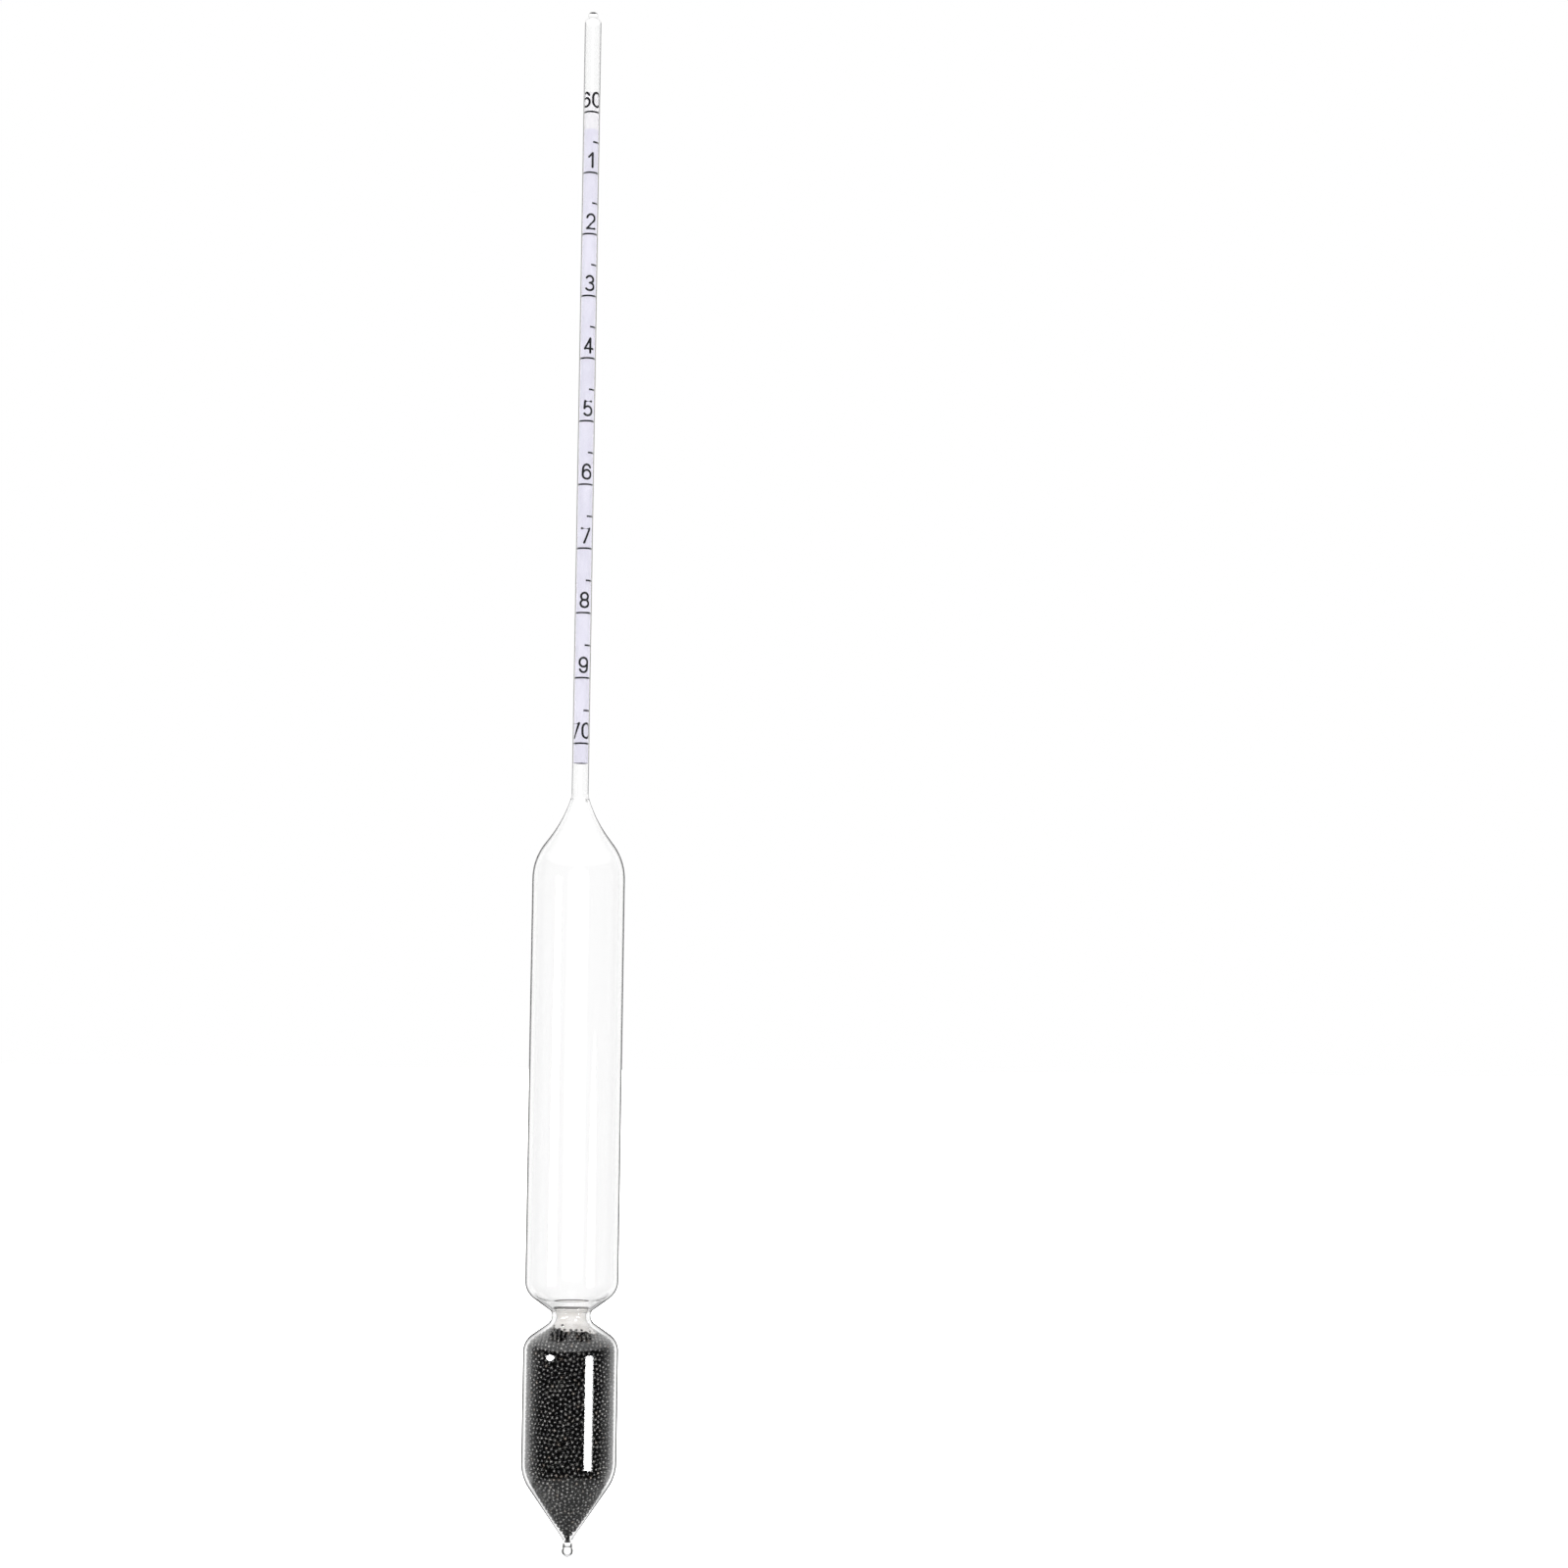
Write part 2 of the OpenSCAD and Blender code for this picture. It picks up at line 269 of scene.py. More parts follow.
# ---------------------------------------------------------------- node trees
class Graph:
    """Short ways to add and join the nodes of one tree."""

    def __init__(self, tree):
        self.tree = tree
        tree.nodes.clear()

    def add(self, kind, inputs=None, **settings):
        node = self.tree.nodes.new(kind)
        for name, value in settings.items():
            setattr(node, name, value)
        for name, value in (inputs or {}).items():
            self.put(node.inputs[name], value)
        return node

    def put(self, socket, value):
        if isinstance(value, bpy.types.NodeSocket):
            self.tree.links.new(value, socket)
        else:
            socket.default_value = value

    def math(self, operation, *values):
        node = self.add("ShaderNodeMath", operation=operation)
        for socket, value in zip(node.inputs, values):
            self.put(socket, value)
        return node.outputs[0]

    def step(self, value, start, end):
        """0 up to start, 1 from end on, smooth in between."""
        inputs = {"Value": value, "From Min": start, "From Max": end}
        return self.add("ShaderNodeMapRange", inputs, interpolation_type="SMOOTHSTEP").outputs[0]

    def band(self, value, start, end, soft):
        """1 between start and end, with soft edges."""
        return self.math("MULTIPLY", self.step(value, start - soft, start + soft),
                         self.math("SUBTRACT", 1.0, self.step(value, end - soft, end + soft)))

    def mix(self, factor, first, second):
        """A number between first and second."""
        inputs = {"Factor": factor, "A": first, "B": second}
        return self.add("ShaderNodeMix", inputs).outputs[0]

    def tint(self, factor, first, second):
        """A colour between first and second."""
        node = self.add("ShaderNodeMix", data_type="RGBA")
        self.put(node.inputs[0], factor)
        self.put(node.inputs[6], first)
        self.put(node.inputs[7], second)
        return node.outputs[2]

    def noise(self, scale, detail=2.0, stretch=(1, 1, 1)):
        """Noise in object space; scale counts its features in a metre, stretch changes it per axis."""
        place = self.add("ShaderNodeTexCoord").outputs["Object"]
        mapping = self.add("ShaderNodeMapping", {"Vector": place, "Scale": stretch}).outputs[0]
        inputs = {"Vector": mapping, "Scale": scale, "Detail": detail}
        return self.add("ShaderNodeTexNoise", inputs).outputs[0]

    def height(self):
        """Height of the shaded point above the bottom of the bead, in millimetres."""
        place = self.add("ShaderNodeTexCoord").outputs["Object"]
        above = self.add("ShaderNodeSeparateXYZ", {"Vector": place}).outputs[2]
        return self.math("DIVIDE", self.math("SUBTRACT", above, FOOT), MM)

    def bump(self, height, distance, strength=1.0):
        inputs = {"Height": height, "Distance": distance, "Strength": strength}
        return self.add("ShaderNodeBump", inputs).outputs[0]

    def principled(self, **inputs):
        named = {name.replace("_", " "): value for name, value in inputs.items()}
        shader = self.add("ShaderNodeBsdfPrincipled", named)
        output = self.add("ShaderNodeOutputMaterial")
        self.tree.links.new(shader.outputs[0], output.inputs["Surface"])
        return shader


def new_material(name):
    """A new material and the graph of its node tree."""
    material = bpy.data.materials.new(name)
    material.use_nodes = True
    return material, Graph(material.node_tree)


# ---------------------------------------------------------------- materials
CLEAR_TINT = 0.996
GLASS_IOR = 1.5
RESIN_IOR = 1.52
TILT_CLEAR, TILT_DARK = 0.85, 0.35  # steepness at which an upright piece's painted edge shade is gone, and where it is full
SHOT_ROUGHNESS = 0.277  # of the smoothest balls


def glass_material(name, edge_from=0.9, edge_to=1.0, edge_shade=CLEAR_TINT, ior=GLASS_IOR, upright=False):
    """Clear glass. Where its skin is seen nearly edge on, from edge_from to edge_to, its colour darkens to
    edge_shade: painted shade that draws its outline. This is a look set for each piece. upright leaves its
    upper and lower faces clear."""
    material, g = new_material(name)
    # painted shade: the skin's colour darkens where it is seen edge on
    edge = g.step(g.add("ShaderNodeLayerWeight", {"Blend": 0.5}).outputs["Facing"], edge_from, edge_to)
    if upright:
        normal = g.add("ShaderNodeNewGeometry").outputs["Normal"]
        tilt = g.math("ABSOLUTE", g.add("ShaderNodeSeparateXYZ", {"Vector": normal}).outputs[2])
        edge = g.math("MULTIPLY", edge, g.step(tilt, TILT_CLEAR, TILT_DARK))
    clear = (CLEAR_TINT, CLEAR_TINT, CLEAR_TINT, 1)
    streaks = g.noise(700, 1.0, (1, 1, 0.06))
    g.principled(
        Base_Color=g.tint(edge, clear, (edge_shade, edge_shade, edge_shade, 1)),
        Roughness=0.0, IOR=ior, Transmission_Weight=1.0, Normal=g.bump(streaks, 0.000002, 0.5),
    )
    return material


WHITE_TOP = 7.6  # length of the paper's upper end that has no tint
WHITE_SOFT = 0.2


def paper_material():
    material, g = new_material("scale_paper_white")
    fibres = g.noise(2600, 4.0, (1, 1, 0.5))
    clouds = g.noise(420, 2.0, (1, 1, 0.35))
    shade = g.math("ADD", g.math("MULTIPLY", fibres, 0.35), g.math("MULTIPLY", clouds, 0.65))
    colour = g.tint(g.step(shade, 0.35, 0.65), (0.71, 0.695, 0.80, 1), (0.77, 0.755, 0.855, 1))
    white_from = high("scale_paper") - WHITE_TOP
    white = g.step(g.height(), white_from - WHITE_SOFT, white_from + WHITE_SOFT)
    colour = g.tint(white, colour, (0.83, 0.82, 0.85, 1))
    g.principled(Base_Color=colour, Roughness=0.75, Normal=g.bump(fibres, 0.00002, 0.5))
    return material


def paper_inside_painted_shade_material():
    # The roll's inner face, coloured dark: painted shade for the inside of the tube
    material, g = new_material("scale_paper_inside_painted_shade")
    fibres = g.noise(2600, 4.0, (1, 1, 0.5))
    colour = g.tint(fibres, (0.22, 0.215, 0.25, 1), (0.34, 0.33, 0.38, 1))
    g.principled(Base_Color=colour, Roughness=0.8)
    return material


def ink_material():
    material, g = new_material("printing_ink_black")
    speckle = g.noise(5000, 3.0)
    colour = g.tint(g.step(speckle, 0.4, 0.7), (0.008, 0.008, 0.011, 1), (0.03, 0.03, 0.038, 1))
    g.principled(Base_Color=colour, Roughness=0.55, Normal=g.bump(speckle, 0.00001, 0.3))
    return material


def resin_material(name, shade, light, edge=0.0):
    """Set resin between two tones. Where it turns away from the eye it takes painted shade, by the share
    edge.
    """
    material, g = new_material(name)
    clouds = g.noise(500, 3.0)
    grain = g.noise(3000, 2.0)
    deep = (shade, shade * 0.97, shade * 0.93, 1)
    pale = (light, light * 0.98, light * 0.96, 1)
    colour = g.tint(g.step(clouds, 0.35, 0.7), deep, pale)
    # painted shade where the surface turns away from the eye
    facing = g.add("ShaderNodeLayerWeight", {"Blend": 0.5}).outputs["Facing"]
    colour = g.tint(g.math("MULTIPLY", g.step(facing, 0.68, 0.92), edge), colour, (0.1, 0.1, 0.1, 1))
    g.principled(Base_Color=colour, Roughness=g.math("MULTIPLY_ADD", grain, 0.2, 0.1), IOR=RESIN_IOR,
                 Normal=g.bump(grain, 0.00003, 0.4))
    return material


def bubble_painted_glow_material():
    """A bubble in the resin. Its faint glow is painted light, for the light it gathers."""
    material, g = new_material("resin_bubble_painted_glow")
    haze = g.noise(4000, 1.0)
    colour = g.tint(haze, (0.93, 0.93, 0.92, 1), (1, 1, 1, 1))
    # painted light: the emission is the bubble's glow
    g.principled(Base_Color=colour, Roughness=0.2, Emission_Color=(1, 1, 1, 1), Emission_Strength=0.35)
    return material


def shot_material(name, dark, light):
    """Dull metal balls, each of its own tone, a few of them rusty."""
    material, g = new_material(name)
    island = g.add("ShaderNodeNewGeometry").outputs["Random Per Island"]
    scuffs = g.noise(6000, 3.0)
    tone = g.math("MULTIPLY_ADD", scuffs, 0.35, g.math("MULTIPLY", island, 0.65))
    deep = (dark, dark, dark * 1.03, 1)
    pale = (light, light * 0.98, light * 0.95, 1)
    colour = g.tint(g.step(tone, 0.1, 0.9), deep, pale)
    rust = g.step(g.math("FRACT", g.math("MULTIPLY", island, 37.0)), 0.9, 0.97)
    colour = g.tint(g.math("MULTIPLY", rust, 0.3), colour, (light, light * 0.72, light * 0.5, 1))
    rough = g.math("MULTIPLY_ADD", g.math("FRACT", g.math("MULTIPLY", island, 91.0)), 0.03, SHOT_ROUGHNESS)
    g.principled(Base_Color=colour, Metallic=1.0, Roughness=rough, Normal=g.bump(scuffs, 0.00002, 0.3))
    return material


GLASS = glass_material("clear_glass")
# Glass skins with painted edge shade: each darkens its colour where it is seen edge on, which draws the
# piece's outline
TIP_SKIN = glass_material("tip_glass", 0.45, 0.85, 0.6, 1.14)
STEM_SKIN = glass_material("stem_glass_skin", 0.4, 0.66, 0.14)
FLOAT_SKIN = glass_material("float_glass_skin", 0.66, 0.84, 0.1)
BALLAST_SKIN = glass_material("ballast_glass_skin", 0.7, 0.84, 0.01)
BEAD_SKIN = glass_material("bead_glass_skin", 0.1, 0.34, 0.004, upright=True)
PAPER = paper_material()
PAPER_INSIDE_PAINTED_SHADE = paper_inside_painted_shade_material()
INK = ink_material()
# The plug's side takes painted shade where it turns away from the eye
RESIN = resin_material("sealing_resin", 0.9, 0.97, 0.8)
# a lighter copy of the resin for the plug's top: painted light
RESIN_TOP_PAINTED_LIGHT = resin_material("sealing_resin_top_painted_light", 0.98, 0.99)
# a near-black copy of the resin for the top band of the plug's side: painted shade
RESIN_RIM_PAINTED_SHADE = resin_material("sealing_resin_rim_painted_shade", 0.08, 0.12)
BUBBLE_PAINTED_GLOW = bubble_painted_glow_material()
SHOT = shot_material("metal_shot", 0.2, 0.55)
# a near-black copy of the shot for the second layer and the core: painted shade
SHOT_IN_PAINTED_SHADE = shot_material("metal_shot_painted_shade", 0.01, 0.04)


# ---------------------------------------------------------------- glass
def make_glass(node, name, skin, outer, inner=None, inner_skin=GLASS):
    """A stretch of the glass envelope: its outer skin and, where it is hollow, its plain inner skin."""
    parts = [revolve(outer)]
    if inner is not None:
        parts.append(revolve(inside_out(inner)))
    points, faces, normals = join(*parts)
    piece = make_piece(name, points, faces, skin, [node], np.array(normals))
    piece.data.materials.append(inner_skin)
    for face in piece.data.polygons[len(parts[0][1]):]:
        face.material_index = 1


TIP_DOME = 0.6  # height of the bore's rounded end, as a share of its radius


def make_tip_seal():
    nub_top = high("stem_tip_seal")
    foot = math.degrees(math.acos((NUB_R - STEM_R + TIP_ROUND) / TIP_ROUND))
    bore = STEM_R - STEM_WALL
    dome = TIP_DOME * bore
    outer = np.vstack([
        [[0, nub_top, 0, 1]],
        bend([NUB_R - NUB_ROUND, nub_top - NUB_ROUND], NUB_ROUND, 90, 0),
        bend([STEM_R - TIP_ROUND, STEM_TOP], TIP_ROUND, foot, 0),
    ])
    inner = np.vstack([
        [[0, STEM_TOP + dome, 0, 1]],
        bend([bore - dome, STEM_TOP], dome, 90, 0),
    ])
    make_glass("stem_tip_seal", "glass_tip_seal", TIP_SKIN, outer, inner, TIP_SKIN)


def make_stem():
    bore = STEM_R - STEM_WALL
    outer = np.array([[STEM_R, z, 1, 0] for z in (STEM_TOP, WELD_Z)])
    inner = np.array([[bore, z, 1, 0] for z in (STEM_TOP, WELD_Z)])
    make_glass("stem_tube", "glass_stem_tube", STEM_SKIN, outer, inner)


def make_float():
    inner = float_outline(FLOAT_WALL, STEM_WALL, NECK_WALL)
    make_glass("float_bulb", "glass_float_bulb", FLOAT_SKIN, float_outline(), inner)


def make_ballast():
    tail_c = [WAIST_R + TAIL_FILLET, WAIST_Z]
    outer = np.vstack([ballast_outline(), bend(tail_c, -TAIL_FILLET, -CONE_SLOPE, 0)])
    floor = WAIST_Z + BORE_FLOOR
    inner = np.vstack([
        ballast_outline(BALLAST_WALL, NECK_WALL),
        [[BORE_R, floor + BORE_LEN, *along(-CONE_SLOPE / 2)]],
        [[BORE_R, floor + BORE_R, 1, 0]],
        bend([0, floor + BORE_R], BORE_R, 0, -90),
    ])
    make_glass("ballast_bulb", "glass_ballast_bulb", BALLAST_SKIN, outer, inner)


def make_bead():
    outer = np.vstack([[[WAIST_R, WAIST_Z, 1, 0]], bend([0, BEAD_R], BEAD_R, BEAD_FROM, -90)])
    make_glass("tail_bead", "glass_tail_bead", BEAD_SKIN, outer)


# ---------------------------------------------------------------- paper scale
PAPER_T = 0.08
PAPER_LAP = 26  # degrees that the roll's edges overlap at the back
LAP_RAMP = 34  # degrees over which the inner edge dips under the outer one
LAP_GAP = 0.01
PAPER_STEPS, PAPER_ROWS = 260, 12
CUT_WAVE, CUT_NICKS = 0.03, 0.008  # unevenness of the cut ends
PAPER_LOW, PAPER_HIGH = low("scale_paper"), high("scale_paper")


def make_paper():
    """The paper rolled into a tube, its right edge lapped over its left one at the back."""
    turns = np.radians(np.linspace(-180 - PAPER_LAP / 2, 180 + PAPER_LAP / 2, PAPER_STEPS))
    start = turns[0]
    lap, ramp = math.radians(PAPER_LAP), math.radians(LAP_RAMP)
    under = np.clip(1 - (turns - start - lap) / ramp, 0, 1)
    dip = (PAPER_T + LAP_GAP) * under * under * (3 - 2 * under)
    outer = PAPER_R - dip
    heights = np.linspace(PAPER_HIGH, PAPER_LOW, PAPER_ROWS)
    points = []
    for i, height in enumerate(heights):
        for turn, r in zip(turns, outer):
            z = height
            if i == 0:
                z -= CUT_WAVE + CUT_WAVE * math.sin(2 * turn + 0.6) + CUT_NICKS * math.sin(17 * turn)
            if i == len(heights) - 1:
                z += CUT_WAVE + CUT_WAVE * math.sin(turn + 2.0) + CUT_NICKS * math.sin(13 * turn)
            for radius in (r, r - PAPER_T):
                x, y = around(radius, turn)
                points.append((x, y, z))
    across = 2 * len(turns)
    faces = []
    for i in range(len(heights) - 1):
        for j in range(len(turns) - 1):
            a, b = i * across + 2 * j, (i + 1) * across + 2 * j
            faces.append((a, b, b + 2, a + 2))
            faces.append((a + 1, a + 3, b + 3, b + 1))
        for j, side in ((0, 1), (len(turns) - 1, -1)):
            a, b = i * across + 2 * j, (i + 1) * across + 2 * j
            edge = (a, a + 1, b + 1, b)
            faces.append(edge if side > 0 else edge[::-1])
    for i, side in ((0, 1), (len(heights) - 1, -1)):
        for j in range(len(turns) - 1):
            a = i * across + 2 * j
            edge = (a, a + 2, a + 3, a + 1)
            faces.append(edge if side > 0 else edge[::-1])
    piece = make_piece("paper_scale_roll", points, faces, PAPER, ["scale_paper"])
    piece.data.set_sharp_from_angle(angle=math.radians(40))
    # Faces that look inwards get the painted shade of the inside
    piece.data.materials.append(PAPER_INSIDE_PAINTED_SHADE)
    for face in piece.data.polygons:
        x, y = face.center.x, face.center.y
        if face.normal.x * x + face.normal.y * y < 0 and abs(face.normal.z) < 0.5:
            face.material_index = 1


INK_T = 0.02
LINE_W = 0.34
LINE_REACH = 118  # azimuth to which a degree line runs on both sides
TICK_FROM, TICK_TO = 15, 104
SCALE_LOW, SCALE_SPAN = 60, 10
GAP_GROWTH = 0.058
FIRST_Z = high("degree_lines") - LINE_W / 2
LAST_Z = low("degree_lines") + LINE_W / 2
DEGREE_GAP = (FIRST_Z - LAST_Z - GAP_GROWTH * SCALE_SPAN * (SCALE_SPAN - 1) / 2) / SCALE_SPAN
DIGIT_W, DIGIT_H, DIGIT_LIFT = 1.98, 3.3, 0.7
DIGIT_STROKE = 0.42
DIGIT_TURN, TENS_TURN, ONES_TURN = 9, -48, 41  # azimuths of a single figure and of a pair's two


def mark_z(n):
    """Height of graduation n, counted from the top one; halves give the ticks."""
    return FIRST_Z - n * DEGREE_GAP - GAP_GROWTH * n * (n - 1) / 2


def stamped(flat, triangles):
    """A thin solid of ink on the paper, from triangles in the plane of the unrolled paper.
    Each of flat's points is an arc length and a height."""
    flat = np.asarray(flat, float)
    turn = flat[:, 0] / PAPER_R
    skins = []
    for radius in (PAPER_R + INK_T, PAPER_R - INK_T / 4):
        x, y = around(radius, turn)
        skins.append(np.stack([x, y, flat[:, 1]], axis=1))
    count = len(flat)
    faces = [tuple(t) for t in triangles]
    faces += [tuple(i + count for i in reversed(t)) for t in triangles]
    edges = {}
    for t in triangles:
        for a, b in zip(t, t[1:] + t[:1]):
            edges[(a, b)] = True
    for a, b in edges:
        if (b, a) not in edges:
            faces.append((b, a, a + count, b + count))
    return np.vstack(skins), faces


def line_shape(turn_from, turn_to, height):
    """A printed line across the paper at a height."""
    steps = max(8, round((turn_to - turn_from) / 2.5))
    arc = np.radians(np.linspace(turn_from, turn_to, steps + 1)) * PAPER_R
    flat = [(s, height - LINE_W / 2) for s in arc] + [(s, height + LINE_W / 2) for s in arc]
    triangles = []
    for j in range(steps):
        a, b = j, j + steps + 1
        triangles += [(a, a + 1, b + 1), (a, b + 1, b)]
    return stamped(flat, triangles)


def oval(x, y, rx, ry, start, end):
    """Points of an elliptical arc in a figure's own square."""
    steps = max(6, round(abs(end - start) / 15))
    turns = np.radians(np.linspace(start, end, steps + 1))
    return [(x + rx * math.cos(a), y + ry * math.sin(a)) for a in turns]


# Strokes of the figures 0 to 9: x from -1 to 1 across, y from 0 to 1 up
FIGURES = [
    [oval(0, 0.66, 1, 0.34, 0, 180) + oval(0, 0.34, 1, 0.34, 180, 360) + [(1, 0.66)]],
    [[(-0.75, 0.72), (0.15, 1), (0.15, 0)]],
    [oval(0, 0.72, 0.95, 0.28, 170, -38) + [(-1, 0), (1, 0)]],
    [oval(-0.05, 0.76, 0.9, 0.24, 150, -90), oval(-0.05, 0.26, 1.02, 0.26, 90, -150)],
    [[(0.35, 0), (0.35, 1), (-1, 0.28), (1, 0.28)]],
    [[(0.85, 1), (-0.7, 1), (-0.85, 0.5)] + oval(-0.02, 0.32, 1, 0.32, 140, -145)],
    [oval(0, 0.31, 1, 0.31, 0, 360), [(-1, 0.31), (-0.95, 0.66)] + oval(0, 0.66, 0.95, 0.34, 180, 25)],
    [[(-1, 1), (1, 1), (-0.35, 0)]],
    [oval(0, 0.75, 0.88, 0.25, 0, 360), oval(0, 0.26, 1, 0.26, 0, 360)],
    [oval(0, 0.69, 1, 0.31, 0, 360), [(1, 0.69), (0.95, 0.34)] + oval(0, 0.34, 0.95, 0.34, 0, -155)],
]
CAP_SIDES = 12


def figure_shape(value, turn, height):
    """One printed figure: the union of its strokes, wrapped round the paper at an azimuth."""
    half = DIGIT_STROKE / 2
    outlines = []
    for stroke in FIGURES[value]:
        path = [np.array([x * (DIGIT_W / 2 - half), half + y * (DIGIT_H - DIGIT_STROKE)]) for x, y in stroke]
        for point in path:
            caps = np.arange(CAP_SIDES) * math.tau / CAP_SIDES
            outlines.append(point + half * np.stack([np.cos(caps), np.sin(caps)], axis=1))
        for a, b in zip(path, path[1:]):
            if np.linalg.norm(b - a) > 1e-6:
                side = half * np.array([a[1] - b[1], b[0] - a[0]]) / np.linalg.norm(b - a)
                outlines.append(np.array([a - side, b - side, b + side, a + side]))
    grid_x = np.arange(-DIGIT_W / 2, DIGIT_W / 2, 0.2)
    grid_y = np.arange(0, DIGIT_H, 0.3)
    loose = [(x, y) for x in grid_x for y in grid_y]
    corners = loose + [tuple(p) for outline in outlines for p in outline]
    loops, first = [], len(loose)
    for outline in outlines:
        loops.append(list(range(first, first + len(outline))))
        first += len(outline)
    made = geometry.delaunay_2d_cdt([Vector(c) for c in corners], [], loops, 0, 1e-5)
    flat = np.array([tuple(v) for v in made[0]])
    triangles = [tuple(t) for t in made[2]]
    centres = np.array([flat[list(t)].mean(axis=0) for t in triangles])
    inked = np.zeros(len(triangles), bool)
    for outline in outlines:
        ahead = np.roll(outline, -1, axis=0) - outline
        past = centres[:, None, :] - outline[None, :, :]
        inked |= (ahead[:, 0] * past[:, :, 1] - ahead[:, 1] * past[:, :, 0] >= 0).all(axis=1)
    kept = [t for t, ink in zip(triangles, inked) if ink]
    used = sorted({i for t in kept for i in t})
    number = {old: new for new, old in enumerate(used)}
    kept = [tuple(number[i] for i in t) for t in kept]
    return stamped(flat[used] + [math.radians(turn) * PAPER_R, height], kept)


def merged(shapes):
    """One mesh from several printed shapes."""
    points, faces = [], []
    for p, f in shapes:
        faces.extend(tuple(i + len(points) for i in face) for face in f)
        points.extend(p)
    return points, faces


def make_print():
    lines = [line_shape(-LINE_REACH, LINE_REACH, mark_z(n)) for n in range(SCALE_SPAN + 1)]
    ticks = [line_shape(TICK_FROM, TICK_TO, mark_z(n + 0.5)) for n in range(SCALE_SPAN)]
    figures = []
    for n in range(SCALE_SPAN + 1):
        value = SCALE_LOW + n
        height = mark_z(n) + LINE_W / 2 + DIGIT_LIFT
        if value % 10:
            figures.append(figure_shape(value % 10, DIGIT_TURN, height))
            continue
        figures.append(figure_shape(value // 10, TENS_TURN, height))
        figures.append(figure_shape(0, ONES_TURN, height))
    for name, node, shapes in (
        ("printed_degree_lines", "degree_lines", lines),
        ("printed_half_degree_ticks", "half_degree_ticks", ticks),
        ("printed_scale_numbers", "scale_numbers", figures),
    ):
        points, faces = merged(shapes)
        make_piece(name, points, faces, INK, [node], flat=True)


# ---------------------------------------------------------------- resin
FILL_GAP = 0.05
PLUG_STEPS, PLUG_LEVELS = 144, 30
PLUG_SAG = 0.4
RIM_RISE = 0.25  # how far the resin creeps up the glass
RIM_PAINTED_SHADE = 0.45  # height of the band of painted shade at the top of the plug's side
CAVITY = np.vstack([
    float_outline(FLOAT_WALL, STEM_WALL, NECK_WALL),
    ballast_outline(BALLAST_WALL, NECK_WALL),
    [[BORE_R, WAIST_Z + BORE_FLOOR + BORE_LEN, 1, 0]],
])


def cavity_r(height):
    """Radius of the glass's inner wall at a height."""
    return np.interp(-np.asarray(height), -CAVITY[:, 1], CAVITY[:, 0])


def resin_foot(turn):
    """Height of the resin's lower edge, which follows the heaped shot."""
    slant = 0.55 * np.cos(turn + 0.9)
    return SHOT_TOP - 0.55 + slant + 0.12 * np.sin(5 * turn) + 0.07 * np.sin(11 * turn + 1)


def make_plug():
    """The resin in the neck: a hollow top that creeps up the glass, a side along it and an uneven foot."""
    steps = PLUG_STEPS
    turn = np.arange(steps) * math.tau / steps
    foot = resin_foot(turn)
    points, rings = [], []

    def ring(radius, height):
        x, y = around(radius, turn)
        rings.append(list(range(len(points), len(points) + steps)))
        points.extend(zip(x, y, np.broadcast_to(height, steps)))

    rim_top = PLUG_TOP + RIM_RISE
    rim = float(cavity_r(rim_top)) - FILL_GAP
    points.append((0, 0, PLUG_TOP - PLUG_SAG))
    rings.append([0] * steps)
    for share in np.append(np.linspace(0.1, 0.9, 9), [0.94, 0.97, 1.0]):
        climb = (RIM_RISE + 0.1) * max(0.0, (share - 0.88) / 0.12) ** 2
        ring(rim * share, PLUG_TOP - PLUG_SAG * (1 - share ** 2) - 0.1 + climb)
    side_from = len(rings) - 1
    for share in np.linspace(0, 1, PLUG_LEVELS)[1:]:
        height = rim_top + (foot - rim_top) * share
        shrink = 0.4 * np.clip((share - 0.7) / 0.3, 0, 1) ** 2
        ring(cavity_r(height) - FILL_GAP - shrink, height)
    points.append((0, 0, float(foot.mean())))
    rings.append([len(points) - 1] * steps)
    faces = []
    for upper, lower in zip(rings, rings[1:]):
        for j in range(steps):
            k = (j + 1) % steps
            faces.append(tuple(dict.fromkeys((upper[j], lower[j], lower[k], upper[k]))))
    piece = make_piece("resin_seal_plug", points, faces, RESIN, ["resin_plug"])
    # slot 1, the plug's top: painted light
    piece.data.materials.append(RESIN_TOP_PAINTED_LIGHT)
    # slot 2, the top band of the side: painted shade
    piece.data.materials.append(RESIN_RIM_PAINTED_SHADE)
    for face in piece.data.polygons:
        if face.index < side_from * steps:
            face.material_index = 1
        elif (face.center.z - FOOT) / MM > rim_top - RIM_PAINTED_SHADE:
            face.material_index = 2


def wall_directions(turn):
    """Directions away from the axis and sideways at an azimuth in radians."""
    out = np.array([math.sin(turn), -math.cos(turn), 0])
    side = np.array([math.cos(turn), math.sin(turn), 0])
    return out, side


BUBBLE_DEPTH = 0.045  # half the depth of a flattened bubble


